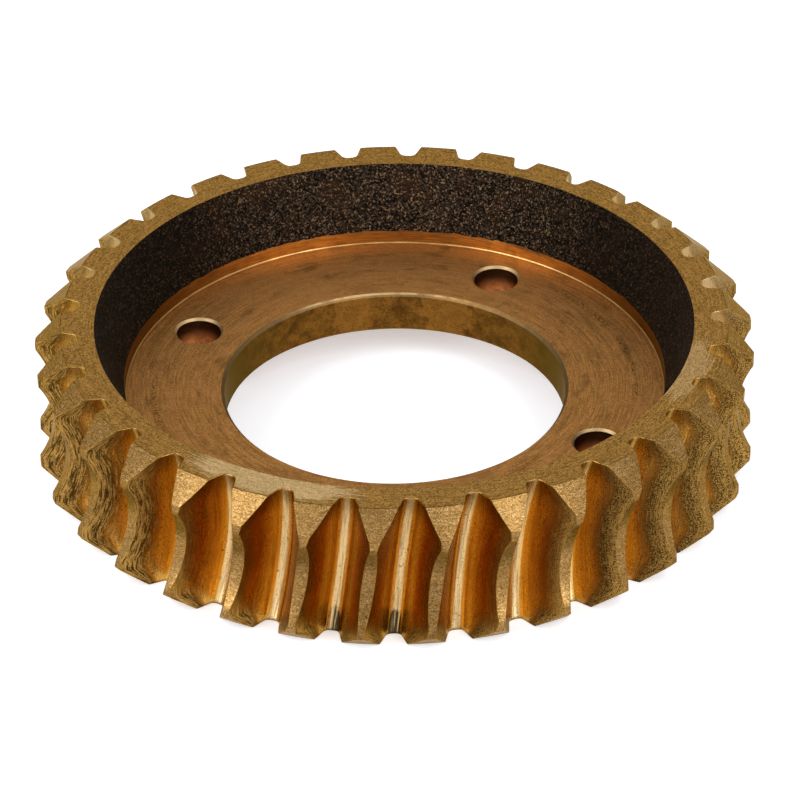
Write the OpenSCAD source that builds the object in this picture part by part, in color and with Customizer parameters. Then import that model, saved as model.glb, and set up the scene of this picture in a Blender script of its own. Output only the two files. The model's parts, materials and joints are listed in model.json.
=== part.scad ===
// Worm wheel rim: one bronze casting, turned and hobbed.
// A toothed ring with a throat for the worm, and an inner web that bolts to a hub flange.
// The wheel lies on its lower face, with its axis on Z.

/* [Teeth] */
// Number of teeth
teeth = 33; // [32:1:44]
// Module: pitch diameter over the number of teeth
tooth_module = 5; // [4.8:0.1:6]
// Pressure angle, in degrees
pressure_angle = 20; // [16:0.5:23]
// Lead angle of the right-hand teeth, in degrees
lead_angle = 7; // [3:0.5:10]
// Height of a tooth above the pitch circle, in modules
addendum = 1; // [0.8:0.05:1.1]
// Depth of a gap below the pitch circle, in modules
dedendum = 1.2; // [1:0.05:1.3]
// Radius of the hob over its tips, which sweeps the floor of a gap
hob_r = 56; // [48:1:80]
// Width of the hob's tip, in modules
hob_tip = 0.66; // [0.6:0.02:0.9]
// Radius of the two corners at the floor of a gap
root_fillet = 1.5; // [0.6:0.1:1.8]
// Radius of the curve of a tooth's flank
flank_r = 80; // [60:5:200]
// Direction of the first tooth from X, in degrees
tooth_phase = 3.7; // [0:0.1:10]

/* [Rim] */
// Width of the rim along the axis
face_w = 40.4; // [34:0.2:50]
// Height of the rim's lips above the bottom of the throat
lip_h = 3.75; // [2:0.25:5]
// Width of the flat land on each lip
land_w = 2.65; // [1:0.05:4]
// Chamfer of the tooth ends, across the radius
chamfer_r = 6.5; // [4:0.1:8]
// Chamfer of the tooth ends, along the axis
chamfer_z = 5.8; // [4:0.1:7]
// Thickness of the rim between the gaps and the turned band
rim_wall = 7.6; // [6:0.1:9]
// Draft of the cast inner walls, in degrees
draft_angle = 23.2; // [10:0.2:26]

/* [Web] */
// Thickness of the web
web_t = 11.3; // [8:0.1:13]
// Depth of the web's upper face below the rim
web_depth = 20.2; // [17:0.1:22]
// Height of the turned band above the web
band_h = 3.7; // [2:0.1:6]
// Fillet between the web and the turned band
corner_r = 0.5; // [0.4:0.1:2]
// Bore that locates the wheel on its hub
bore_d = 87; // [78:0.5:92]
// Chamfer at both ends of the bore
bore_chamfer = 0.8; // [0.2:0.1:2]

/* [Bolts] */
// Number of bolt holes
bolt_count = 4; // [3:1:8]
// Diameter of the bolt circle
bolt_pcd = 114.5; // [112:0.5:116]
// Diameter of a bolt hole
bolt_hole_d = 11.5; // [8:0.5:13]
// Chamfer at both ends of a bolt hole
bolt_chamfer = 0.6; // [0.2:0.1:1.2]
// Direction of the first bolt hole from X, in degrees
bolt_phase = 62.1; // [0:0.1:90]

/* [Hidden] */

$fn = 180;
eps = 0.01;
bronze = [0.72, 0.53, 0.27];

// Teeth: radii from the axis at the middle of the face
pitch_r = teeth * tooth_module / 2;
base_r = pitch_r * cos(pressure_angle);
throat_r = pitch_r + addendum * tooth_module;
root_r = pitch_r - dedendum * tooth_module;
hob_axis_r = root_r + hob_r;
tooth_pitch = 360 / teeth;

// Rim: the turned blank
mid_z = face_w / 2;
lip_r = throat_r + lip_h;
face_r = lip_r - chamfer_r;
throat_half_w = mid_z - chamfer_z - land_w;
throat_arc_r = (throat_half_w * throat_half_w + lip_h * lip_h) / (2 * lip_h);

// Web and inner walls
web_top = face_w - web_depth;
web_bottom = web_top - web_t;
band_r = root_r - rim_wall;
band_top = web_top + band_h;
upper_mouth_r = band_r + (face_w - band_top) * tan(draft_angle);
lower_mouth_r = band_r + web_bottom * tan(draft_angle);
bore_r = bore_d / 2;
// Drills run this far past both faces of the web
drill_over = 1;

// Gap: its flanks run this far past the edges of the lips, and the hob turns through the rim
lip_clearance = 0.2;
lip_gap = norm([hob_axis_r - lip_r, throat_half_w]) - lip_clearance;
gap_h = (hob_axis_r - lip_gap) / cos(tooth_pitch / 2) - root_r;
hob_sweep = asin((mid_z + tooth_module) / hob_r);

// Half of the gap's angle at radius r, between involute flanks, in degrees
function involute(a) = tan(a) * 180 / PI - a;
function gap_angle(r) =
    tooth_pitch / 4 - involute(pressure_angle) + involute(acos(min(1, base_r / r)));

// Flank point at height h above the floor: distance from the hob's axis, half width of the gap
function flank_point(h) =
    let (r = root_r + h, a = gap_angle(r))
    [hob_axis_r - r * cos(a), r * sin(a)];

// Centre of the circle of radius r through two points, on the right of the way from p to q
function arc_centre(p, q, r) =
    let (v = q - p)
    (p + q) / 2 + sqrt(r * r - v * v / 4) * [v[1], -v[0]] / norm(v);

// Each flank is one arc from the straight side of the hob's tip to the tip of its involute
flank_foot = [hob_r - root_fillet, hob_tip * tooth_module / 2 + root_fillet * tan(pressure_angle)];
flank_tip = flank_point(gap_h);
flank_centre = arc_centre(flank_foot, flank_tip, flank_r);

// Each corner of the floor touches the floor, and runs into its flank by eps
corner_reach = flank_r + root_fillet - eps;
floor_corner = [
    flank_foot[0],
    flank_centre[1] - sqrt(pow(corner_reach, 2) - pow(flank_foot[0] - flank_centre[0], 2))
];
to_flank = flank_centre - floor_corner;
flank_start = floor_corner + root_fillet * to_flank / norm(to_flank);

// Outline of a gap: distance from the hob's axis on X, width on Y
module gap_section() {
    difference() {
        union() {
            for (side = [-1, 1])
                translate([floor_corner[0], side * floor_corner[1]])
                    circle(root_fillet);
            polygon([
                [hob_r, -floor_corner[1]],
                [hob_r, floor_corner[1]],
                flank_start,
                flank_tip + [0, tooth_module],
                [flank_tip[0], -flank_tip[1] - tooth_module],
                [flank_start[0], -flank_start[1]]
            ]);
        }
        for (side = [-1, 1])
            translate([flank_centre[0], side * flank_centre[1]])
                circle(flank_r);
    }
}

// Cross-section of the turned ring before the teeth are cut
module ring_section() {
    difference() {
        polygon([
            [bore_r, web_bottom + bore_chamfer],
            [bore_r + bore_chamfer, web_bottom],
            [band_r, web_bottom],
            [lower_mouth_r, 0],
            [face_r, 0],
            [lip_r, chamfer_z],
            [lip_r, face_w - chamfer_z],
            [face_r, face_w],
            [upper_mouth_r, face_w],
            [band_r, band_top],
            [band_r, web_top + corner_r],
            [band_r - corner_r, web_top],
            [bore_r + bore_chamfer, web_top],
            [bore_r, web_top - bore_chamfer]
        ]);
        translate([throat_r + throat_arc_r, mid_z])
            circle(throat_arc_r);
        translate([band_r - corner_r, web_top + corner_r])
            circle(corner_r);
    }
}

// Sweep of one hob tooth round the worm's axis, beyond X
module tooth_gap() {
    translate([hob_axis_r, 0, mid_z])
        rotate([-90 - lead_angle, 0, 0])
            rotate([0, 0, 180 - hob_sweep])
                rotate_extrude(angle = 2 * hob_sweep)
                    gap_section();
}

// Through hole with a chamfer at both faces of the web
module bolt_hole() {
    hole_r = bolt_hole_d / 2;
    translate([0, 0, web_bottom - drill_over])
        cylinder(h = web_t + 2 * drill_over, r = hole_r);
    translate([0, 0, web_top - bolt_chamfer])
        cylinder(h = bolt_chamfer + eps, r1 = hole_r, r2 = hole_r + bolt_chamfer + eps);
    translate([0, 0, web_bottom - eps])
        cylinder(h = bolt_chamfer + eps, r1 = hole_r + bolt_chamfer + eps, r2 = hole_r);
}

module worm_wheel() {
    color(bronze)
        difference() {
            rotate_extrude()
                ring_section();
            for (i = [0 : teeth - 1])
                rotate([0, 0, tooth_phase + (i + 0.5) * tooth_pitch])
                    tooth_gap();
            for (i = [0 : bolt_count - 1])
                rotate([0, 0, bolt_phase + i * 360 / bolt_count])
                    translate([bolt_pcd / 2, 0, 0])
                        bolt_hole();
        }
}

worm_wheel();
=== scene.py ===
"""Worm wheel rim in turned and hobbed bronze, on a plain studio floor.

The wheel's mesh is made from the same sizes as its solid: a ring of columns that follows
the section of the rim and dips into every tooth gap. Each machined or cast surface has
its own finish.
"""

import json
import math
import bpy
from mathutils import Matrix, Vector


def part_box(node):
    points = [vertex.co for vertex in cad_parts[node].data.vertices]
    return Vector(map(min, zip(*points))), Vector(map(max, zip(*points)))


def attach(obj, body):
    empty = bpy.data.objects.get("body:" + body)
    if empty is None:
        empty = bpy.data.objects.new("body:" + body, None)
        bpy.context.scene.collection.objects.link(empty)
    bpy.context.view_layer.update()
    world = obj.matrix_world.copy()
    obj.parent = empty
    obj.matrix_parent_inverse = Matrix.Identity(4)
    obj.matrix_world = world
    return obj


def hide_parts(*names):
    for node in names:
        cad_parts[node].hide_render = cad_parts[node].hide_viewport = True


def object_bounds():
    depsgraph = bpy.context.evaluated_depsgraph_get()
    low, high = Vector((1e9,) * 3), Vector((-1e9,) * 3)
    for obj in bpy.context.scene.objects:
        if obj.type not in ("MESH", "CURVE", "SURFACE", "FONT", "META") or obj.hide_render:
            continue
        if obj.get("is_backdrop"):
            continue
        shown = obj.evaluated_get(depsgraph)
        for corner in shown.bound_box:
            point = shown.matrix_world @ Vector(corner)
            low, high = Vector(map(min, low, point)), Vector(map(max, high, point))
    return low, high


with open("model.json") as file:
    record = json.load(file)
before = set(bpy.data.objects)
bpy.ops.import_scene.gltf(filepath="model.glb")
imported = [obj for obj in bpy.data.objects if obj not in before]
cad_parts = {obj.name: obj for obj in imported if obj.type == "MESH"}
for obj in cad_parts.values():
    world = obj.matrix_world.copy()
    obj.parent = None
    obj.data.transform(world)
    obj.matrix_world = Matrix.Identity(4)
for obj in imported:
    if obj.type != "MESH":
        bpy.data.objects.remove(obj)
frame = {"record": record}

from types import SimpleNamespace

import bmesh
import bpy
import numpy as np
from bpy.props import FloatProperty, FloatVectorProperty, IntProperty, PointerProperty
from mathutils import Matrix, Quaternion, Vector, geometry, noise

bl_info = {
    "name": "Worm Wheel Rim",
    "version": (1, 0, 0),
    "blender": (4, 5, 0),
    "location": "3D View > Sidebar > Wheel",
    "description": "Builds a bronze worm wheel rim with its finishes and a studio stage",
    "category": "Object",
}

NODE = "worm_wheel"
CAD_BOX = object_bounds()
MM = 0.001
MOUNTS = {mount["name"]: mount for mount in frame["record"]["mounts"]}
BORE = MOUNTS["bore"]["dims"]
BOLTS = MOUNTS["bolt_circle"]["dims"]
FACE_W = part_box(NODE)[1].z / MM
LIP_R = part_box(NODE)[1].x / MM
WEB_TOP = MOUNTS["web_seat"]["pos_m"][2] / MM


# Settings that a user may change


def length_setting(name, description, millimetres):
    """A length, kept in metres."""
    default = millimetres * MM
    return FloatProperty(name=name, description=description, default=default, precision=5, unit="LENGTH")


def angle_setting(name, description, degrees):
    """An angle, kept in radians."""
    default = math.radians(degrees)
    return FloatProperty(name=name, description=description, default=default, subtype="ANGLE")


def colour_setting(name, description, default):
    """A linear colour."""
    return FloatVectorProperty(name=name, description=description, default=default, subtype="COLOR")


class WheelTeeth(bpy.types.PropertyGroup):
    """Sizes of the hobbed teeth"""

    count: IntProperty(name="Teeth", description="Number of teeth", default=33, min=12)
    module: length_setting("Module", "Pitch diameter over the number of teeth", 5.0)
    pressure: angle_setting("Pressure angle", "Slope of a flank at the pitch circle", 20.0)
    lead: angle_setting("Lead angle", "Lead of the right-hand teeth", 7.0)
    addendum: FloatProperty(name="Addendum", description="Over the pitch circle, in modules", default=1.0)
    dedendum: FloatProperty(name="Dedendum", description="Below the pitch circle, in modules", default=1.2)
    hob_r: length_setting("Hob radius", "Radius of the hob over its tips", 56.0)
    hob_tip: FloatProperty(name="Hob tip", description="Width of the hob's tip, in modules", default=0.66)
    flank_r: length_setting("Flank radius", "Radius of the curve of a flank", 80.0)
    fillet: length_setting("Root fillet", "Radius of the corners at the floor of a gap", 1.5)
    phase: angle_setting("Phase", "Direction of the first tooth from X", 3.7)


class WheelRim(bpy.types.PropertyGroup):
    """Sizes of the turned rim and the cast walls"""

    land_w: length_setting("Land", "Width of the flat on each lip", 2.65)
    chamfer_r: length_setting("Chamfer across", "Chamfer of the tooth ends, across the radius", 6.5)
    chamfer_z: length_setting("Chamfer along", "Chamfer of the tooth ends, along the axis", 5.8)
    wall: length_setting("Rim wall", "Thickness from a gap's floor to the turned band", 7.6)
    draft: angle_setting("Draft", "Draft of the cast inner walls", 23.2)
    edge: length_setting("Edge break", "Width of the rounding on sharp edges", 0.09)


class WheelWeb(bpy.types.PropertyGroup):
    """Sizes of the web, its bore and its bolt holes"""

    thick: length_setting("Web", "Thickness of the web", 11.3)
    band_h: length_setting("Band", "Height of the turned band above the web", 3.7)
    corner: length_setting("Corner", "Fillet between the web and the band", 0.5)
    bore_chamfer: length_setting("Bore chamfer", "Chamfer at both ends of the bore", 0.8)
    bolt_chamfer: length_setting("Bolt chamfer", "Chamfer at both ends of a bolt hole", 0.6)
    bolt_phase: angle_setting("Bolt phase", "Direction of the first bolt hole from X", 62.1)


class WheelFinish(bpy.types.PropertyGroup):
    """Colours of the bronze, where it was turned, hobbed or left as cast"""

    turned: colour_setting("Turned rim", "Rim faces, chamfers and lands", (0.262, 0.140, 0.038))
    bright: colour_setting("Bright grains", "Shining grains of chamfers and lands", (0.455, 0.355, 0.205))
    # Also the colour of the painted highlights on the rim face and on the bore's chamfers
    cut: colour_setting("Clean cut", "Gap floors and rubbed edges", (0.60, 0.41, 0.19))
    flank: colour_setting("Tooth flanks", "Flanks near the floor of a gap", (0.66, 0.37, 0.075))
    tip: colour_setting("Tooth tips", "Dark flanks near the tips", (0.21, 0.10, 0.017))
    web: colour_setting("Turned web", "Faces of the web", (0.32, 0.15, 0.045))
    bore: colour_setting("Bore", "Patina in the bore", (0.168, 0.070, 0.011))
    hole: colour_setting("Bolt holes", "Walls of the bolt holes", (0.48, 0.175, 0.055))
    band: colour_setting("Turned band", "Band above the web", (0.46, 0.25, 0.085))
    cast: colour_setting("Cast skin", "Sand-cast inner walls", (0.016, 0.010, 0.006))


class WheelStage(bpy.types.PropertyGroup):
    """Camera of the studio"""

    elevation: angle_setting("Camera elevation", "Height of the camera over the horizon", 33.48)
    distance: length_setting("Camera distance", "From the camera to the point it looks at", 1444.5)
    lens: FloatProperty(name="Lens", description="Focal length", default=262.3, unit="CAMERA")
    roll: angle_setting("Camera roll", "Turn of the camera about its line of sight", -0.63)
    aim_x: length_setting("Aim across", "Point that the camera looks at, along X", 1.28)
    aim_y: length_setting("Aim along", "Point that the camera looks at, along Y", -37.23)


def working_sizes(settings):
    """A group's settings by name, with lengths in millimetres and angles in radians."""
    values = {}
    for name in type(settings).__annotations__:
        value = getattr(settings, name)
        is_length = settings.bl_rna.properties[name].unit == "LENGTH"
        values[name] = value / MM if is_length else value
    return SimpleNamespace(**values)


# Mesh of the wheel, in millimetres and radians


GAP, CHAMFER, LAND, RIM_FACE, CAST, BAND, WEB, BORE_WALL, HOLE = range(9)
FLANK_STEPS = 7
FILLET_STEPS = 3
FLOOR_STEPS = 3
TOOTH_STEPS = 4
CHAMFER_STEPS = 6
LAND_STEPS = 2
THROAT_STEPS = 16
FACE_STEPS = 5
CAST_STEPS = 24
LOWER_CAST_STEPS = 8
CORNER_STEPS = 4
HOLE_STEPS = 6
BORE_SIDES = 264
HOLE_SIDES = 56
BISECTIONS = 50
# How far the flanks run past the edges of the lips
LIP_CLEARANCE = 0.2
# Place across a gap at which its fillets end and its flanks start
FOOT_PLACE = 0.25
# Relief of the cast walls, and how much more their edges wander
CAST_DEPTH = 0.32
LOWER_CAST_DEPTH = 0.25
RAGGED_EDGE = 1.6
# Share of the band's height at which it has a ring, and the turned strip under the web
BAND_MIDDLE = 0.55
LOWER_BAND_H = 1.2
# Edges sharper than these are rounded, or shaded as edges
ROUNDED_ANGLE = math.radians(28)
SHADED_ANGLE = math.radians(38)


def rotated(points, angle):
    """Points turned about Z by an angle in radians."""
    c, s = math.cos(angle), math.sin(angle)
    x, y, z = points[..., 0], points[..., 1], points[..., 2]
    return np.stack([c * x - s * y, s * x + c * y, z], axis=-1)


class GapShape:
    """One tooth gap: an arc-sided outline that turns round the worm's axis along its thread."""

    def __init__(self, teeth, rim):
        angle = teeth.pressure
        self.hob_r = teeth.hob_r
        self.half_w = FACE_W / 2
        self.pitch = 2 * math.pi / teeth.count
        self.count = teeth.count
        pitch_r = teeth.count * teeth.module / 2
        self.base_r = pitch_r * math.cos(angle)
        self.throat_r = pitch_r + teeth.addendum * teeth.module
        self.root_r = pitch_r - teeth.dedendum * teeth.module
        self.axis_r = self.root_r + self.hob_r
        self.helix = (self.axis_r - pitch_r) * math.tan(teeth.lead)
        self.half_gap = math.pi / 2 / teeth.count - (math.tan(angle) - angle)
        lip_h = LIP_R - self.throat_r
        self.throat_half = self.half_w - rim.chamfer_z - rim.land_w
        self.throat_arc = (self.throat_half**2 + lip_h**2) / (2 * lip_h)
        self.set_flank(teeth, math.tan(angle))

    def involute_point(self, height):
        """Distance from the hob's axis and half width of the gap, at a height above the floor."""
        r = self.root_r + height
        a = math.acos(min(1.0, self.base_r / r))
        half = self.half_gap + math.tan(a) - a
        return np.array([self.axis_r - r * math.cos(half), r * math.sin(half)])

    def set_flank(self, teeth, slope):
        """Each flank is one arc from the straight side of the hob's tip to the tip of its involute."""
        lip_gap = math.hypot(self.axis_r - LIP_R, self.throat_half) - LIP_CLEARANCE
        tip = self.involute_point((self.axis_r - lip_gap) / math.cos(self.pitch / 2) - self.root_r)
        foot_w = teeth.hob_tip * teeth.module / 2 + teeth.fillet * slope
        foot = np.array([self.hob_r - teeth.fillet, foot_w])
        chord = tip - foot
        across = np.array([chord[1], -chord[0]]) / np.linalg.norm(chord)
        self.flank_r = teeth.flank_r
        self.flank_c = (foot + tip) / 2 + math.sqrt(self.flank_r**2 - chord @ chord / 4) * across
        reach = self.flank_r + teeth.fillet
        self.floor_w = self.flank_c[1] - math.sqrt(reach**2 - (foot[0] - self.flank_c[0]) ** 2)
        corner = np.array([foot[0], self.floor_w])
        bend = math.atan2(self.flank_c[1] - corner[1], self.flank_c[0] - corner[0])
        turns = np.linspace(0, bend, FILLET_STEPS + 1)
        self.fillet_points = corner + teeth.fillet * np.stack([np.cos(turns), np.sin(turns)], 1)

    def flank_width(self, d):
        """Half width of the gap on the flank, at distance d from the hob's axis."""
        return self.flank_c[1] - np.sqrt(self.flank_r**2 - (d - self.flank_c[0]) ** 2)

    def to_hob(self, r, theta, z):
        """Distance, turn and width in the hob's frame of a point on the wheel."""
        reach, rise = self.axis_r - r * np.cos(theta), z - self.half_w
        turn = np.arctan2(rise, reach)
        return np.hypot(reach, rise), turn, r * np.sin(theta) - self.helix * turn

    def to_wheel(self, d, turn, width):
        """The point on the wheel for a distance, turn and width in the hob's frame."""
        x = self.axis_r - d * np.cos(turn)
        y = self.helix * turn + width
        return np.stack([x, y, self.half_w + d * np.sin(turn)], axis=-1)

    def turn_limit(self, d):
        """Turn at which a point of the outline leaves the upper face."""
        return np.arcsin(self.half_w / d)

    def edge_angle(self, r, z, side):
        """Angle at which a flank meets the blank at radius r and height z."""
        middle = self.helix * np.arctan2(z - self.half_w, self.axis_r - r) / r
        low, high = np.zeros_like(r), np.full_like(r, 0.6 * self.pitch)
        for _ in range(BISECTIONS):
            guess = (low + high) / 2
            d, _, width = self.to_hob(r, middle + side * guess, z)
            inside = side * width < self.flank_width(d)
            low, high = np.where(inside, guess, low), np.where(inside, high, guess)
        return middle + side * low


def blank_rows(shape, rim):
    """Radius and height along the tooth tips, from the upper face to the lower, with finishes."""
    face_r = LIP_R - rim.chamfer_r
    chamfer = np.linspace(0, 1, CHAMFER_STEPS + 1)
    land = np.linspace(0, 1, LAND_STEPS + 1)[1:]
    swing = math.asin(shape.throat_half / shape.throat_arc)
    arc = np.linspace(swing, 0, THROAT_STEPS // 2 + 1)[1:]
    r = [face_r + rim.chamfer_r * chamfer, np.full(LAND_STEPS, LIP_R)]
    z = [FACE_W - rim.chamfer_z * chamfer, FACE_W - rim.chamfer_z - rim.land_w * land]
    r.append(shape.throat_r + shape.throat_arc * (1 - np.cos(arc)))
    z.append(FACE_W / 2 + shape.throat_arc * np.sin(arc))
    r, z = np.concatenate(r), np.concatenate(z)
    r = np.concatenate([r, r[-2::-1]])
    z = np.concatenate([z, FACE_W - z[-2::-1]])
    half = [CHAMFER] * CHAMFER_STEPS + [LAND] * (LAND_STEPS + THROAT_STEPS // 2)
    return r, z, half + half[::-1]


def gap_rows(shape, r, z):
    """Points of one gap on every row, from its left edge to its right, and their place across it.

    The place is 0 in the middle of the floor, a quarter at the foot of a flank and 1 at its tip,
    and less than 0 on the left.
    """
    limits = {}
    for side in (-1, 1):
        theta = shape.edge_angle(r, z, side)
        d, turn, _ = shape.to_hob(r, theta, z)
        limits[side] = (theta, d, turn / shape.turn_limit(d))
    foot_d, foot_w = shape.fillet_points[-1]

    def place(d, width, share):
        return shape.to_wheel(d, share * shape.turn_limit(d), width)

    def flank(side):
        _, edge_d, share = limits[side]
        for step in range(FLANK_STEPS):
            t = 1 - step / FLANK_STEPS
            d = foot_d + (edge_d - foot_d) * t
            across = side * (FOOT_PLACE + (1 - FOOT_PLACE) * t)
            yield place(d, side * shape.flank_width(d), share), across

    def floor():
        bend = [(p[0], p[1]) for p in shape.fillet_points]
        flat = np.linspace(-shape.floor_w, shape.floor_w, FLOOR_STEPS + 1)
        path = [(d, -w) for d, w in bend[::-1]]
        path += [(shape.hob_r, w) for w in flat[1:-1]] + bend
        for d, w in path:
            t = (w + foot_w) / (2 * foot_w)
            share = limits[-1][2] * (1 - t) + limits[1][2] * t
            d, w = np.full_like(share, d), np.full_like(share, w)
            yield place(d, w, share), FOOT_PLACE * w[0] / foot_w

    parts = list(flank(-1)) + list(floor()) + list(flank(1))[::-1]
    columns = np.stack([p for p, _ in parts], axis=1)
    across = np.array([share for _, share in parts])
    return columns, across, limits[-1][0], limits[1][0]


def toothed_rows(teeth, rim):
    """All rows of the toothed surface round the wheel, with the finish of every column and row."""
    shape = GapShape(teeth, rim)
    r, z, finishes = blank_rows(shape, rim)
    gap, across, left, right = gap_rows(shape, r, z)
    tips = []
    for step in range(1, TOOTH_STEPS):
        theta = right + (shape.pitch + left - right) * step / TOOTH_STEPS
        tips.append(np.stack([r * np.cos(theta), r * np.sin(theta), z], axis=-1))
    sector = np.concatenate([gap, np.stack(tips, axis=1)], axis=1)
    across = np.concatenate([across, np.ones(TOOTH_STEPS - 1)])
    starts = [teeth.phase + (i + 0.5) * shape.pitch for i in range(shape.count)]
    rows = np.concatenate([rotated(sector, start) for start in starts], axis=1)
    in_gap = np.arange(sector.shape[1]) < gap.shape[1] - 1
    return shape, rows, np.tile(in_gap, shape.count), np.tile(across, shape.count), finishes


def cast_relief(point, depth):
    """Lumps and grain of a sand-cast wall at a point, in millimetres."""
    lumps = noise.fractal(Vector(point) * 0.35, 0.9, 2.1, 4)
    grain = noise.noise(Vector(point) * 1.7)
    return depth * (0.6 * lumps + 0.4 * grain)


def ring(theta, r, z):
    """Points at the given angles on one circle."""
    return np.stack([r * np.cos(theta), r * np.sin(theta), np.broadcast_to(z, theta.shape)], axis=-1)


def directions(row):
    """Angle of every point of a row round the axis."""
    return np.arctan2(row[:, 1], row[:, 0])


def face_rings(edge_row, radius, height):
    """Rings on a flat face, from a toothed edge in to a circle."""
    edge_r = np.hypot(edge_row[:, 0], edge_row[:, 1])
    for t in np.linspace(0, 1, FACE_STEPS + 1)[1:]:
        yield ring(directions(edge_row), edge_r * (1 - t) + radius * t, height)


def cast_rings(theta, mouth, foot, draft, steps, depth):
    """Rings on a rough cast wall, from the radius and height of its mouth to those of its foot."""
    for t in np.linspace(0, 1, steps + 1)[1:]:
        r, z = (start + (end - start) * t for start, end in zip(mouth, foot))
        points = ring(theta, r, z)
        push = np.array([cast_relief(point, depth) for point in points])
        if t == 1:
            points[:, 2] += RAGGED_EDGE * push
        else:
            points[:, :2] -= (push * math.cos(draft))[:, None] * points[:, :2] / r
            points[:, 2] += push * math.sin(draft)
        yield points


class WheelMesh:
    """Collects rings of points into one closed mesh."""

    def __init__(self):
        self.mesh = bmesh.new()
        self.across = self.mesh.verts.layers.float.new("across")

    def add_ring(self, points, across=None):
        verts = [self.mesh.verts.new(p) for p in points]
        for i, vert in enumerate(verts):
            vert[self.across] = 1.0 if across is None else across[i]
        return verts

    def join(self, lower, upper, finish):
        """Quads between two rings; finish is one number or one for each column."""
        count = len(lower)
        for i in range(count):
            j = (i + 1) % count
            face = self.mesh.faces.new((lower[i], lower[j], upper[j], upper[i]))
            face.material_index = finish if isinstance(finish, int) else finish[i]

    def stack(self, first, rings, finish):
        """Joins rings one after another, starting from a ring that is there already."""
        for points in rings:
            verts = self.add_ring(points)
            self.join(first, verts, finish)
            first = verts
        return first

    def fill(self, loops, finish):
        """Flat face between one outer ring and the rings inside it."""
        verts = [vert for loop in loops for vert in loop]
        for triple in geometry.tessellate_polygon([[v.co for v in loop] for loop in loops]):
            face = self.mesh.faces.new([verts[i] for i in triple])
            face.material_index = finish


def drilled(mesh, centre, radius, chamfer, web, sides, finish):
    """A chamfered hole through the web. Gives its rings on the upper and the lower face."""
    low = WEB_TOP - web.thick
    theta = np.linspace(0, 2 * math.pi, sides, endpoint=False)
    offset = np.array([centre[0], centre[1], 0.0])
    heights = np.linspace(WEB_TOP - chamfer, low + chamfer, HOLE_STEPS + 1)
    upper = mesh.add_ring(offset + ring(theta, radius + chamfer, WEB_TOP))
    wall = mesh.stack(upper, [offset + ring(theta, radius, height) for height in heights], finish)
    lower = mesh.stack(wall, [offset + ring(theta, radius + chamfer, low)], finish)
    return upper, lower


def web_holes(mesh, web):
    """The bore and the bolt holes, as pairs of rings on the web's two faces."""
    yield drilled(mesh, (0, 0), BORE["r_mm"], web.bore_chamfer, web, BORE_SIDES, BORE_WALL)
    arm = BOLTS["pcd_mm"] / 2
    for i in range(BOLTS["count"]):
        turn = web.bolt_phase + 2 * math.pi * i / BOLTS["count"]
        centre = (arm * math.cos(turn), arm * math.sin(turn))
        yield drilled(mesh, centre, BOLTS["hole_r_mm"], web.bolt_chamfer, web, HOLE_SIDES, HOLE)


def upper_walls(mesh, edge, row, band_r, rim, web):
    """The upper face, the cast wall and the turned band, in to the edge of the web."""
    theta = directions(row)
    band_top = WEB_TOP + web.band_h
    mouth_r = band_r + (FACE_W - band_top) * math.tan(rim.draft)
    lip = mesh.stack(edge, face_rings(row, mouth_r, FACE_W), RIM_FACE)
    wall = cast_rings(theta, (mouth_r, FACE_W), (band_r, band_top), rim.draft, CAST_STEPS, CAST_DEPTH)
    foot = mesh.stack(lip, wall, CAST)
    band = [ring(theta, band_r, WEB_TOP + BAND_MIDDLE * web.band_h)]
    for turn in np.linspace(0, math.pi / 2, CORNER_STEPS + 1):
        corner_r = band_r - web.corner * (1 - math.cos(turn))
        band.append(ring(theta, corner_r, WEB_TOP + web.corner * (1 - math.sin(turn))))
    return mesh.stack(foot, band, BAND)


def lower_walls(mesh, edge, row, band_r, rim, web):
    """The lower face, the cast wall and a turned strip, in to the underside of the web."""
    theta = directions(row)
    slope = math.tan(rim.draft)
    web_low = WEB_TOP - web.thick
    mouth_r = band_r + web_low * slope
    lip = mesh.stack(edge, face_rings(row, mouth_r, 0.0), RIM_FACE)
    cast_end = (band_r + LOWER_BAND_H * slope, web_low - LOWER_BAND_H)
    wall = cast_rings(theta, (mouth_r, 0.0), cast_end, rim.draft, LOWER_CAST_STEPS, LOWER_CAST_DEPTH)
    foot = mesh.stack(lip, wall, CAST)
    return mesh.stack(foot, [ring(theta, band_r, web_low)], BAND)


def build_mesh(teeth, rim, web):
    """The whole wheel as one closed mesh."""
    shape, rows, in_gap, across, finishes = toothed_rows(teeth, rim)
    mesh = WheelMesh()
    toothed = [mesh.add_ring(row, across) for row in rows]
    for upper, lower, finish in zip(toothed, toothed[1:], finishes):
        mesh.join(upper, lower, [GAP if gap else finish for gap in in_gap])
    band_r = shape.root_r - rim.wall
    uppers = [upper_walls(mesh, toothed[0], rows[0], band_r, rim, web)]
    lowers = [lower_walls(mesh, toothed[-1], rows[-1], band_r, rim, web)]
    for upper, lower in web_holes(mesh, web):
        uppers.append(upper)
        lowers.append(lower)
    mesh.fill(uppers, WEB)
    mesh.fill(lowers, WEB)
    return mesh.mesh


# Pairs of finishes whose edges are rounded, and the gap ends, which are rounded this much more
TOOTH_EDGES = ({GAP, CHAMFER}, {GAP, LAND}, {CHAMFER, LAND}, {CHAMFER, RIM_FACE})
GAP_ENDS = ({GAP, RIM_FACE},)
END_ROUNDING = 5


def is_sharp(edge, finishes):
    """Tells if an edge lies between two of the finishes and is sharp enough to be rounded."""
    if {face.material_index for face in edge.link_faces} not in finishes:
        return False
    return edge.calc_face_angle(0) > ROUNDED_ANGLE


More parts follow.
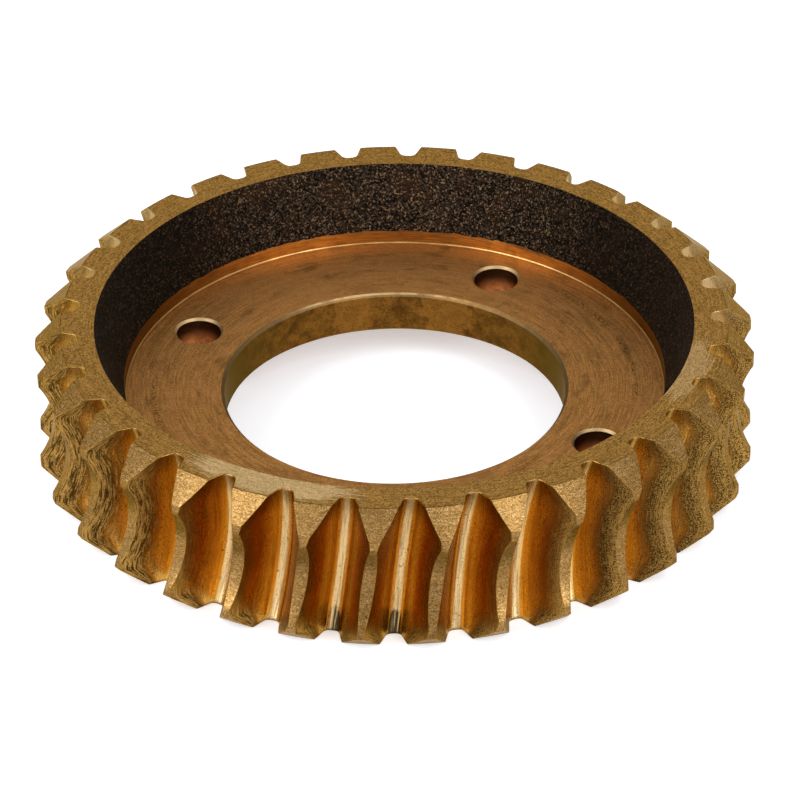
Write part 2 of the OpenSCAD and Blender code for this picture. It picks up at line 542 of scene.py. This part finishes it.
def break_edges(mesh, width):
    """Rounds the sharp edges of the toothed rim a little, as handling and a file do."""
    bmesh.ops.recalc_face_normals(mesh, faces=mesh.faces)
    for finishes, offset, steps in ((GAP_ENDS, END_ROUNDING * width, 3), (TOOTH_EDGES, width, 2)):
        sharp = [edge for edge in mesh.edges if is_sharp(edge, finishes)]
        bmesh.ops.bevel(
            mesh, geom=sharp, offset=offset, offset_type="OFFSET", segments=steps, profile=0.5,
            affect="EDGES", clamp_overlap=True,
        )


def new_object(name, mesh):
    """An object in the scene with a finished mesh."""
    data = bpy.data.meshes.new(name)
    mesh.to_mesh(data)
    mesh.free()
    piece = bpy.data.objects.new(name, data)
    bpy.context.scene.collection.objects.link(piece)
    return piece


# Shader maths


class Field:
    """A socket that carries a value over the surface; arithmetic on it adds Math nodes."""

    def __init__(self, tree, socket):
        self.tree = tree
        self.socket = socket

    def math(self, operation, *others):
        """A Math node with this field as its first value."""
        return math_node(self.tree, operation, self, *others)

    def __add__(self, other):
        return self.math("ADD", other)

    __radd__ = __add__

    def __sub__(self, other):
        return self.math("SUBTRACT", other)

    def __rsub__(self, other):
        return math_node(self.tree, "SUBTRACT", other, self)

    def __mul__(self, other):
        return self.math("MULTIPLY", other)

    __rmul__ = __mul__

    def __truediv__(self, other):
        return self.math("DIVIDE", other)

    def __rtruediv__(self, other):
        return math_node(self.tree, "DIVIDE", other, self)


def math_node(tree, operation, *values):
    """The result of a Math node on fields and numbers."""
    node = tree.nodes.new("ShaderNodeMath")
    node.operation = operation
    for value, socket in zip(values, node.inputs):
        link(tree, value, socket)
    return Field(tree, node.outputs[0])


def link(tree, value, socket):
    """Links a field to a socket, or sets a number, vector or colour on it."""
    if isinstance(value, Field):
        tree.links.new(value.socket, socket)
    elif socket.type == "RGBA" and len(value) == 3:
        socket.default_value = (*value, 1.0)
    else:
        socket.default_value = value


class Nodes:
    """Adds nodes to one tree."""

    def __init__(self, tree):
        self.tree = tree

    def node(self, kind, settings=None, output=0, **inputs):
        """Adds a node: its settings first, then the values or links of its sockets."""
        node = self.tree.nodes.new(kind)
        for key, value in (settings or {}).items():
            setattr(node, key, value)
        by_id = {socket.identifier: socket for socket in node.inputs}
        for key, value in inputs.items():
            link(self.tree, value, by_id[key] if key in by_id else node.inputs[key])
        by_id = {socket.identifier: socket for socket in node.outputs}
        return Field(self.tree, by_id[output] if output in by_id else node.outputs[output])

    def seen(self):
        """1 on rays that show the background: to the camera, off metal or through glass."""
        names = ("Is Camera Ray", "Is Glossy Ray", "Is Transmission Ray")
        straight, mirrored, through = (self.node("ShaderNodeLightPath", output=name) for name in names)
        return straight.math("MAXIMUM", mirrored).math("MAXIMUM", through)


class Finish(Nodes):
    """A material under construction, with the wheel's own coordinates in millimetres."""

    def __init__(self, name):
        self.material = bpy.data.materials.new(name)
        self.material.use_nodes = True
        super().__init__(self.material.node_tree)
        self.shader = self.tree.nodes["Principled BSDF"]
        self.shader.inputs["Specular Tint"].default_value = (*GRAZING, 1.0)
        metres = self.node("ShaderNodeTexCoord", output="Object")
        scaled = {"operation": "SCALE"}
        self.place = self.node("ShaderNodeVectorMath", scaled, Vector=metres, Scale=1 / MM)
        self.x, self.y, self.z = (
            self.node("ShaderNodeSeparateXYZ", output=axis, Vector=self.place) for axis in "XYZ"
        )
        self.radius = (self.x * self.x + self.y * self.y).math("SQRT")
        self.angle = self.y.math("ARCTAN2", self.x)

    def combine(self, x, y, z):
        return self.node("ShaderNodeCombineXYZ", X=x, Y=y, Z=z)

    def noise(self, where, scale, detail=3.0, rough=0.55):
        return self.node("ShaderNodeTexNoise", Vector=where, Scale=scale, Detail=detail, Roughness=rough)

    def ramp(self, value, low, high, to_low=0.0, to_high=1.0):
        """Smooth step of a value between two limits."""
        inputs = {"Value": value, "From Min": low, "From Max": high, "To Min": to_low, "To Max": to_high}
        return self.node("ShaderNodeMapRange", {"interpolation_type": "SMOOTHSTEP"}, **inputs)

    def mix(self, factor, first, second, blend="MIX"):
        """Mix of two colours."""
        settings = {"data_type": "RGBA", "blend_type": blend, "clamp_factor": True}
        inputs = {"Factor_Float": factor, "A_Color": first, "B_Color": second}
        return self.node("ShaderNodeMix", settings, output="Result_Color", **inputs)

    def grooves(self, across, stretch, scale, detail=2.0):
        """Noise drawn out round the axis, as a lathe tool leaves it."""
        east = self.angle.math("COSINE") * stretch
        north = self.angle.math("SINE") * stretch
        return self.noise(self.combine(across, east, north), scale, detail, 0.6)

    def grains(self, scale):
        """Random level of small grains, from 0 to 1."""
        colour = self.node("ShaderNodeTexVoronoi", output="Color", Vector=self.place, Scale=scale)
        return self.node("ShaderNodeSeparateColor", Color=colour)

    def patch(self, degrees, arm, along, level, centre, across, ragged=0.7, grain=None):
        """A ragged patch in a direction from the axis: along the turn, and across another field."""
        if grain is None:
            grain = self.noise(self.place, 0.35, 4.0, 0.65)
        c, s = math.cos(math.radians(degrees)), math.sin(math.radians(degrees))
        ahead = self.x * c + self.y * s
        aside = self.y * c - self.x * s
        turn = aside.math("ARCTAN2", ahead) * (arm / along)
        other = (level - centre) / across
        reach = 1 - (turn * turn + other * other).math("SQRT")
        return self.ramp(reach + (grain - 0.5) * ragged, 0.0, 0.3)

    def largest(self, fields):
        """The largest of several fields at every point."""
        first, *others = fields
        for other in others:
            first = first.math("MAXIMUM", other)
        return first

    def towards(self, degrees):
        """Cosine of the angle round the axis from a direction."""
        return (self.angle - math.radians(degrees)).math("COSINE")

    def attribute(self, name):
        """A value kept on the mesh."""
        return self.node("ShaderNodeAttribute", {"attribute_name": name}, output="Fac")

    def bump(self, height, depth, strength):
        """Normals of a relief, with its depth in millimetres."""
        return self.node("ShaderNodeBump", Height=height, Distance=depth * MM, Strength=strength)

    def done(self, colour, roughness, metallic=1.0, normal=None):
        """Feeds the shader and gives the finished material."""
        link(self.tree, colour, self.shader.inputs["Base Color"])
        link(self.tree, roughness, self.shader.inputs["Roughness"])
        link(self.tree, metallic, self.shader.inputs["Metallic"])
        if normal is not None:
            link(self.tree, normal, self.shader.inputs["Normal"])
        return self.material


# Colours of dirt, wear and painted shade, the deep orange of the flanks (partly a painted reflection), and
# the tints of a grazing view and of the cast walls out of the light (painted shade)
SOOT_AND_SHADE = (0.014, 0.010, 0.006)
THROAT_SHADE = (0.42, 0.40, 0.36)
RUST_AND_SHADE = (0.055, 0.022, 0.009)
DEEP = (0.43, 0.135, 0.004)
TORN = (0.41, 0.230, 0.056)
GRIT = (0.28, 0.165, 0.08)
OLIVE = (0.075, 0.048, 0.016)
GRAZING = (0.76, 0.63, 0.43)
SHADED = (0.30, 0.27, 0.24)

# Places of wear and of painted light and shade: directions in degrees from X, and lengths, radii and
# heights in millimetres
LIT_SIDE = 90
BORE_HIGHLIGHT_SIDE = 95
DARK_REFLECTION_SIDE = 270
SMOOTH_SIDE = 262
SOOTED = (258.7, 269.6)
GLINTS = (72, 103)
THROAT_SHADE_Z = 27.0
EDGE_LINE_R = 84.2
HUB_EDGE_R = 61.4
# Radius at which lengths along the rim are taken
RIM_R = 80.0
# Painted highlights on the rim face: direction, length, radius, width and share
RIM_HIGHLIGHTS = ((247, 25, 79, 6.0, 1.0), (341, 17, 78, 5.0, 0.5))
# Where the line of the hub's edge is dirtiest: direction and length
HUB_MARKS = ((20, 34), (193, 22))
# Half of the height over which a chamfer's finish starts
CHAMFER_BLUR = 0.05


def shade(colour, factor):
    """A colour made lighter or darker."""
    return tuple(min(1.0, channel * factor) for channel in colour)


# Finishes


def turned_face(name, colour, bright):
    """Rim faces: turning lines, dark dashes along them, pits, and patches of painted highlight."""
    f = Finish(name)
    lines = f.grooves(f.radius, 4.0, 3.3, 3.0)
    dashes = f.grooves(f.radius, 30.0, 2.5)
    grain = f.grains(3.6)
    pits = f.ramp(f.noise(f.place, 2.4, 1.0, 0.4), 0.66, 0.72)
    level = lines * 0.38 + dashes * 0.37 + grain * 0.25
    # Painted highlight: brighter patches of the rim face, where the turning lines would catch the lamps
    highlit = f.largest(
        f.patch(degrees, RIM_R, along, f.radius, radius, across, 1.0, lines) * share
        for degrees, along, radius, across, share in RIM_HIGHLIGHTS
    )
    contrast = f.ramp(level, 0.36, 0.64)
    tone = f.mix(contrast, shade(colour, 0.5), shade(colour, 1.6))
    tone = f.mix(highlit, tone, f.mix(contrast, shade(bright, 0.6), shade(bright, 1.05)))
    tone = f.mix(f.ramp(dashes, 0.60, 0.68) * (0.5 - highlit * 0.2), tone, shade(colour, 0.25))
    tone = f.mix(f.ramp(f.radius, EDGE_LINE_R, EDGE_LINE_R + 0.4) * 0.6, tone, shade(colour, 0.25))
    tone = f.mix(pits * 0.7, tone, SOOT_AND_SHADE)
    height = lines * 0.6 + dashes * 0.4 - pits * 0.6
    return f.done(tone, 0.34 + grain * 0.14, normal=f.bump(height, 0.06, 0.6))


def speckled(name, colour, bright, stretch, painted_shade):
    """Chamfers and throat: a brushed, grainy cut with bright grains and dark specks, painted shade high on
    the throat, a painted dark reflection at the front, and painted shade along the lower edge.
    """
    f = Finish(name)
    slant = (f.z - f.radius) * 0.7
    brush = f.grooves(slant, stretch, 4.2, 2.0)
    streaks = f.grooves(slant, stretch * 0.3, 2.6, 2.0)
    grain = f.grains(4.5)
    specks = f.ramp(f.noise(f.place, 3.6, 1.0, 0.4), 0.60, 0.68)
    clouds = f.noise(f.place, 0.12, 3.0)
    level = brush * 0.5 + streaks * 0.25 + grain * 0.25
    tone = f.mix(f.ramp(level, 0.30, 0.68), shade(colour, 0.45), shade(colour, 1.4))
    tone = f.mix(f.ramp(level, 0.54, 0.74) * 0.75, tone, bright)
    tone = f.mix(f.ramp(clouds, 0.42, 0.66) * 0.35, tone, shade(colour, 0.6))
    tone = f.mix(specks * 0.5, tone, shade(colour, 0.15))
    # Painted shade: a darker band high on the throat under the upper lip, and a painted dark reflection
    # low on the throat at the front
    band = f.ramp((f.z - THROAT_SHADE_Z).math("ABSOLUTE"), 6.5, 1.0)
    front = f.patch(DARK_REFLECTION_SIDE, LIP_R, 22.0, f.z, 12.0, 12.0, 0.3) * 0.6
    tone = f.mix(f.largest((band, front)) * painted_shade, tone, THROAT_SHADE, "MULTIPLY")
    # Painted shade along the lowest millimetre, next to the floor
    tone = f.mix(f.ramp(f.z, 1.0, 0.2) * 0.6, tone, SOOT_AND_SHADE)
    return f.done(tone, 0.26 + grain * 0.12, normal=f.bump(level - specks * 0.4, 0.08, 0.7))


def hobbed(name, floor_colour, flank_colour, tip_colour):
    """Tooth gaps: streaked along the tooth, bright at the floor, orange on the fillets and flanks (partly
    a painted reflection), dark and in places torn at the tips, with painted shade and highlight at the
    upper ends.
    """
    f = Finish(name)
    across = f.attribute("across")
    streaks = f.noise(f.combine(across * 16, f.angle * 16, f.z * 0.07), 1.0, 4.0, 0.65)
    fibre = f.noise(f.combine(across * 40, f.angle * 60, f.z * 0.25), 1.0, 3.0, 0.7)
    grain = f.noise(f.place, 3.4, 2.0, 0.6)
    cloud = f.noise(f.place, 0.16, 3.0)
    stipple = f.ramp(grain, 0.50, 0.60)
    pits = f.ramp(f.noise(f.place, 1.9, 1.0, 0.4), 0.67, 0.72)
    rise = across.math("ABSOLUTE") + (streaks - 0.5) * 0.12 + (fibre - 0.5) * 0.06
    # Fillets and flanks turn orange: partly the bronze's own colour, partly a painted reflection of the
    # facing flank
    fillet_colour = shade(flank_colour, 1.08)
    level = f.ramp(streaks * 0.55 + fibre * 0.45, 0.38, 0.60)
    tone = f.mix(level, shade(floor_colour, 0.66), shade(floor_colour, 1.05))
    tone = f.mix(f.ramp(rise, 0.07, 0.22), tone, fillet_colour)
    flank = f.mix(f.ramp(rise, 0.46, 0.68), flank_colour, DEEP)
    tone = f.mix(f.ramp(rise, 0.2, 0.4), tone, flank)
    tone = f.mix(f.ramp(rise, 0.66, 0.95), tone, tip_colour)
    tone = f.mix(f.ramp(streaks, 0.52, 0.32) * 0.45, tone, shade(tip_colour, 0.9))
    tone = f.mix(f.ramp(fibre, 0.54, 0.70) * 0.35, tone, fillet_colour)
    dotted = f.ramp(rise, 0.15, 0.7, 0.12, 0.9) * f.ramp(cloud, 0.35, 0.6, 0.4, 1.0)
    tone = f.mix(stipple * dotted, tone, shade(tip_colour, 0.25))
    aside = f.ramp(f.towards(SMOOTH_SIDE), 0.93, 0.76)
    low = f.ramp(f.z, 10.0, 4.0)
    ragged = rise + (fibre - 0.5) * 0.4 + (grain - 0.5) * 0.3
    torn = f.ramp(ragged, 0.52, 0.72) * aside.math("MAXIMUM", low)
    right = f.ramp(f.x, -20.0, 20.0)
    crumbs = fibre * (0.7 - right * 0.35) + grain * (0.3 + right * 0.35) + (rise - 0.8) * 0.2
    rough_tone = f.mix(right, TORN, shade(TORN, 0.8))
    rough_tone = f.mix(f.ramp(crumbs, 0.43, 0.60), shade(tip_colour, 0.2), rough_tone)
    tone = f.mix(torn, tone, rough_tone)
    soot = f.largest(f.patch(degrees, RIM_R, 2.4, f.z, 2.0, 5.0) for degrees in SOOTED)
    soot = soot * f.ramp(across.math("ABSOLUTE"), 0.32, 0.2)
    tone = f.mix(soot * f.ramp(streaks, 0.66, 0.50) * 0.9, tone, SOOT_AND_SHADE)
    # Painted shade at the upper ends of the gaps on the near side, and a painted highlight there on the
    # far side
    behind = f.ramp(f.towards(SMOOTH_SIDE), 0.0, -0.35)
    end_tone = f.mix(behind, shade(tip_colour, 0.6), shade(floor_colour, 0.7))
    upper = f.ramp(f.z, FACE_W - 9.0, FACE_W - 1.0) * (0.65 + behind * 0.3 - torn * 0.5)
    tone = f.mix(upper, tone, end_tone)
    # Painted shade along the lowest millimetre, next to the floor
    tone = f.mix(f.ramp(f.z, 1.0, 0.2) * 0.6, tone, SOOT_AND_SHADE)
    tone = f.mix(pits * 0.7, tone, SOOT_AND_SHADE)
    height = streaks * 0.5 + fibre * 0.3 + (fibre * 0.5 + grain) * torn - stipple * 0.2
    roughness = 0.2 + streaks * 0.12 + torn * 0.22
    return f.done(tone, roughness, normal=f.bump(height, 0.10, 0.5))


def cast_skin(name, colour):
    """Sand-cast wall: near black, granular, with small bright grains and a little rust."""
    f = Finish(name)
    f.shader.inputs["Specular IOR Level"].default_value = 0.08
    grain = f.grains(2.6)
    cloud = f.noise(f.place, 1.5, 5.0, 0.75)
    # Painted shade: the cast walls darken at the sides, away from the lit far side
    lit = f.ramp(f.towards(LIT_SIDE), 0.6, 1.0)
    sparks = f.ramp(grain * f.ramp(cloud, 0.35, 0.65), 0.45, 0.75)
    rust = f.ramp(f.noise(f.place, 0.12, 4.0, 0.6), 0.46, 0.66)
    tone = f.mix(f.ramp(grain * 0.4 + cloud * 0.6, 0.36, 0.70), shade(colour, 0.05), shade(colour, 3.0))
    tone = f.mix(rust * 0.5, tone, shade(RUST_AND_SHADE, 0.6))
    tone = f.mix(sparks * 0.85, tone, GRIT)
    tone = f.mix(1 - lit, tone, SHADED, "MULTIPLY")
    return f.done(tone, 0.5 + cloud * 0.2, sparks * 0.6, f.bump(cloud + grain * 0.6, 0.7, 0.9))


def turned_band(name, colour):
    """Band above the web: smooth copper-coloured turning, with painted shade at the sides."""
    f = Finish(name)
    marks = f.grooves(f.z, 4.0, 3.0)
    cloud = f.noise(f.place, 0.35, 4.0, 0.6)
    # Painted shade: the band darkens at the sides, away from the lit far side
    shaded_side = f.ramp(f.towards(LIT_SIDE), 0.95, 0.35)
    tone = f.mix(f.ramp(marks, 0.3, 0.7), shade(colour, 0.7), shade(colour, 1.25))
    tone = f.mix(f.ramp(cloud, 0.5, 0.7) * 0.45, tone, shade(colour, 0.5))
    tone = f.mix(shaded_side * 0.75, tone, shade(colour, 0.35))
    return f.done(tone, 0.24 + cloud * 0.15, normal=f.bump(marks, 0.04, 0.5))


def turned_web(name, colour):
    """Web: fine lathe lines, smudges, painted light towards the far side, and the dotted dirt line that a
    hub's edge has left.
    """
    f = Finish(name)
    lines = f.grooves(f.radius, 2.0, 3.0, 3.0)
    grain = f.grains(4.0)
    cloud = f.noise(f.place, 0.16, 5.0, 0.65)
    smudge = f.ramp(f.grooves(f.radius * 0.4, 11.0, 0.6, 5.0), 0.54, 0.70)
    dots = f.ramp(f.noise(f.place, 1.5, 3.0, 0.7), 0.50, 0.62)
    hub_edge = f.ramp((f.radius - HUB_EDGE_R).math("ABSOLUTE"), 1.4, 0.1) * dots
    near = f.largest(
        f.patch(degrees, HUB_EDGE_R, along, f.radius, HUB_EDGE_R, 3.0)
        for degrees, along in HUB_MARKS
    )
    level = lines * 0.6 + grain * 0.2 + cloud * 0.2
    tone = f.mix(f.ramp(level, 0.34, 0.66), shade(colour, 0.58), shade(colour, 1.42))
    # Painted light: the web lighter towards the lit far side
    tone = f.mix(f.ramp(f.towards(LIT_SIDE), 0.45, 0.95) * 0.35, tone, shade(colour, 1.7))
    tone = f.mix(f.ramp(cloud, 0.5, 0.66) * 0.45, tone, shade(colour, 0.6))
    tone = f.mix(smudge * 0.55, tone, shade(colour, 0.35))
    tone = f.mix(hub_edge * (0.1 + near * 0.8), tone, shade(colour, 0.1))
    return f.done(tone, 0.42 + cloud * 0.16, normal=f.bump(lines + grain * 0.2, 0.05, 0.5))


def near_faces(f, web, start, end):
    """Turns on towards both faces of the web, between two depths under them."""
    height = (f.z - (WEB_TOP - web.thick / 2)).math("ABSOLUTE")
    return f.ramp(height, web.thick / 2 - start, web.thick / 2 - end)


def bored_wall(name, colour, bright, web):
    """Bore: mottled patina with painted glints, painted shade at the sides, and a painted highlight on the
    chamfers at the far side.
    """
    f = Finish(name)
    chamfer = web.bore_chamfer
    mottle = f.noise(f.place, 0.30, 6.0, 0.7)
    grain = f.grains(3.4)
    slope = near_faces(f, web, chamfer + CHAMFER_BLUR, chamfer - CHAMFER_BLUR)
    highlit = near_faces(f, web, chamfer * 0.6, chamfer * 0.4)
    patchy = f.ramp(f.noise(f.place, 0.22, 4.0, 0.6), 0.28, 0.56)
    # Painted highlight on the chamfer at the far side, broken into patches
    chamfer_highlight = highlit * patchy * f.ramp(f.towards(BORE_HIGHLIGHT_SIDE), 0.80, 0.97)
    # Painted shade: the bore's sides, away from the lit far side, turn olive
    shaded_side = f.ramp(f.towards(LIT_SIDE), 0.9, 0.3)
    # Painted glints: brighter patches on the far wall of the bore
    glint = f.largest(
        f.patch(degrees, BORE["r_mm"], 8.0, f.z, WEB_TOP - 4.0, 8.0, 2.0) for degrees in GLINTS
    )
    tone = f.mix(f.ramp(mottle, 0.32, 0.68), shade(colour, 0.45), shade(colour, 1.3))
    tone = f.mix(glint * 0.4, tone, shade(colour, 2.0))
    tone = f.mix(f.ramp(grain, 0.5, 1.0) * 0.5, tone, shade(colour, 0.3))
    tone = f.mix(shaded_side * 0.75, tone, OLIVE)
    tone = f.mix(slope * 0.4, tone, shade(bright, 0.4))
    tone = f.mix(chamfer_highlight * 0.75, tone, shade(bright, 0.75))
    return f.done(tone, 0.36 + mottle * 0.25, normal=f.bump(grain, 0.04, 0.4))


def bolt_hole(name, colour, bright, web):
    """Bolt holes: dark red painted shade on the wall under the chamfer, brighter copper below."""
    f = Finish(name)
    chamfer = web.bolt_chamfer
    mottle = f.noise(f.place, 0.5, 4.0, 0.65)
    grain = f.grains(3.4)
    slope = near_faces(f, web, chamfer + CHAMFER_BLUR, chamfer - CHAMFER_BLUR)
    # Painted shade: the upper wall under the chamfer turns dark red
    dark_upper = f.ramp(f.z + (mottle - 0.5) * 4.0, WEB_TOP - 6.5, WEB_TOP - 2.5)
    tone = f.mix(f.ramp(mottle, 0.36, 0.64), shade(colour, 0.7), shade(colour, 1.4))
    tone = f.mix(dark_upper * 0.95, tone, shade(RUST_AND_SHADE, 0.5))
    tone = f.mix(slope * 0.75, tone, shade(bright, 0.85))
    return f.done(tone, 0.38 + mottle * 0.2, normal=f.bump(grain, 0.04, 0.4))


# Operators


class WHEEL_OT_rim(bpy.types.Operator):
    """Build the worm wheel rim over its solid"""

    bl_idname = "wheel.rim"
    bl_label = "Worm Wheel Rim"

    def execute(self, context):
        scene = context.scene
        teeth = working_sizes(scene.wheel_teeth)
        rim = working_sizes(scene.wheel_rim)
        web = working_sizes(scene.wheel_web)
        mesh = build_mesh(teeth, rim, web)
        break_edges(mesh, rim.edge)
        bmesh.ops.scale(mesh, vec=(MM, MM, MM), verts=mesh.verts)
        wheel = new_object("bronze_worm_wheel", mesh)
        self.dress(wheel, scene.wheel_finish, web)
        wheel.data.shade_smooth()
        wheel.data.set_sharp_from_angle(angle=SHADED_ANGLE)
        smooth = wheel.modifiers.new("even_normals", "WEIGHTED_NORMAL")
        smooth.keep_sharp = True
        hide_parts(NODE)
        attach(wheel, "root")
        return {"FINISHED"}

    def dress(self, wheel, finish, web):
        """Gives the wheel its finishes, in the order of the face numbers."""
        for material in (
            hobbed("hobbed_gap", finish.cut, finish.flank, finish.tip),
            speckled("tooth_chamfer", finish.turned, finish.bright, stretch=16.0, painted_shade=0.0),
            speckled("throat_land", finish.turned, finish.bright, stretch=30.0, painted_shade=0.75),
            turned_face("turned_rim_face", finish.turned, finish.cut),
            cast_skin("cast_skin", finish.cast),
            turned_band("turned_band", finish.band),
            turned_web("turned_web", finish.web),
            bored_wall("bore_wall", finish.bore, finish.cut, web),
            bolt_hole("bolt_hole", finish.hole, finish.cut, web),
        ):
            wheel.data.materials.append(material)


# Stage: places and widths in metres, power in watts
DAYLIGHT = (0.94, 1.0, 1.14)
PAPER = (0.8, 0.8, 0.8)
PAPER_GLOW = 0.45
FILL_LIGHT = 0.7
FLOOR_SIZE = 12.0
SENSOR_MM = 36.0
# Softboxes: name, foot, head, width and power
SOFTBOXES = (
    ("left_softbox", (-0.78, -0.71, 0.03), (-0.69, -0.25, 1.10), 0.50, 9.6),
    ("right_softbox", (0.68, -0.80, 0.03), (0.43, -0.42, 1.12), 0.32, 6.8),
)


class WHEEL_OT_stage(bpy.types.Operator):
    """Set the floor, the lights and the camera"""

    bl_idname = "wheel.stage"
    bl_label = "Studio Stage"

    def execute(self, context):
        stage = context.scene.wheel_stage
        self.floor()
        self.world(context.scene)
        self.lamps(context.scene)
        self.camera(context.scene, stage)
        context.scene.view_settings.view_transform = "Standard"
        return {"FINISHED"}

    def floor(self):
        """White paper that glows a little, so that it shows white and still takes a shadow."""
        bpy.ops.mesh.primitive_plane_add(size=FLOOR_SIZE, location=(0, 0, 0))
        floor = bpy.context.object
        floor.name = "studio_floor"
        material = bpy.data.materials.new("studio_floor")
        material.use_nodes = True
        nodes = Nodes(material.node_tree)
        nodes.tree.nodes.remove(nodes.tree.nodes["Principled BSDF"])
        paper = nodes.node("ShaderNodeBsdfDiffuse", Color=PAPER)
        glow = nodes.node("ShaderNodeEmission", Strength=nodes.seen() * PAPER_GLOW)
        both = nodes.node("ShaderNodeAddShader", Shader=paper, Shader_001=glow)
        link(nodes.tree, both, nodes.tree.nodes["Material Output"].inputs["Surface"])
        floor.data.materials.append(material)
        floor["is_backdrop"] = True

    def world(self, scene):
        """White where it is seen, and a plain soft fill light elsewhere."""
        world = bpy.data.worlds.new("studio")
        scene.world = world
        world.use_nodes = True
        nodes = Nodes(world.node_tree)
        back = nodes.tree.nodes["Background"]
        back.inputs["Color"].default_value = (1, 1, 1, 1)
        link(nodes.tree, FILL_LIGHT + nodes.seen() * (1 - FILL_LIGHT), back.inputs["Strength"])

    def lamps(self, scene):
        """Two tall softboxes, left and right of the camera, that lean over the wheel."""
        for name, foot, head, width, power in SOFTBOXES:
            foot, head = Vector(foot), Vector(head)
            upright = (head - foot).normalized()
            middle = (foot + head) / 2
            sideways = upright.cross(middle).normalized()
            data = bpy.data.lights.new(name, "AREA")
            data.shape = "RECTANGLE"
            data.size = width
            data.size_y = (head - foot).length
            data.energy = power
            data.color = DAYLIGHT
            lamp = bpy.data.objects.new(name, data)
            turn = Matrix((sideways, upright, sideways.cross(upright))).transposed()
            lamp.matrix_world = Matrix.Translation(middle) @ turn.to_4x4()
            scene.collection.objects.link(lamp)

    def camera(self, scene, stage):
        """Looks along Y and down on the wheel, from the photograph's place."""
        aim = Vector((stage.aim_x, stage.aim_y, FACE_W * MM))
        back = Vector((0, -math.cos(stage.elevation), math.sin(stage.elevation))) * stage.distance
        data = bpy.data.cameras.new("camera")
        data.lens = stage.lens
        data.sensor_width = SENSOR_MM
        camera = bpy.data.objects.new("camera", data)
        camera.location = aim + back
        turn = Quaternion((0, 0, 1), stage.roll)
        camera.rotation_mode = "QUATERNION"
        camera.rotation_quaternion = (-back).to_track_quat("-Z", "Y") @ turn
        scene.collection.objects.link(camera)
        scene.camera = camera


class WHEEL_PT_panel(bpy.types.Panel):
    """Lists the wheel's settings and operators"""

    bl_label = "Worm Wheel"
    bl_idname = "WHEEL_PT_panel"
    bl_space_type = "VIEW_3D"
    bl_region_type = "UI"
    bl_category = "Wheel"

    def draw(self, context):
        layout = self.layout
        for group in SETTINGS:
            settings = getattr(context.scene, group)
            for name in type(settings).__annotations__:
                layout.prop(settings, name)
        layout.operator(WHEEL_OT_rim.bl_idname)
        layout.operator(WHEEL_OT_stage.bl_idname)


SETTINGS = {
    "wheel_teeth": WheelTeeth,
    "wheel_rim": WheelRim,
    "wheel_web": WheelWeb,
    "wheel_finish": WheelFinish,
    "wheel_stage": WheelStage,
}
CLASSES = (WHEEL_OT_rim, WHEEL_OT_stage, WHEEL_PT_panel)


def register():
    """Adds the settings, the operators and the panel."""
    for name, group in SETTINGS.items():
        bpy.utils.register_class(group)
        setattr(bpy.types.Scene, name, PointerProperty(type=group))
    for cls in CLASSES:
        bpy.utils.register_class(cls)


def unregister():
    """Takes them away again."""
    for cls in reversed(CLASSES):
        bpy.utils.unregister_class(cls)
    for name, group in SETTINGS.items():
        delattr(bpy.types.Scene, name)
        bpy.utils.unregister_class(group)


def main():
    """Builds the wheel and its stage."""
    register()
    bpy.ops.wheel.rim()
    bpy.ops.wheel.stage()
    boxes = {"cad": CAD_BOX, "visual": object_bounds()}
    {name: [list(corner) for corner in box] for name, box in boxes.items()}


if __name__ == "__main__":
    main()
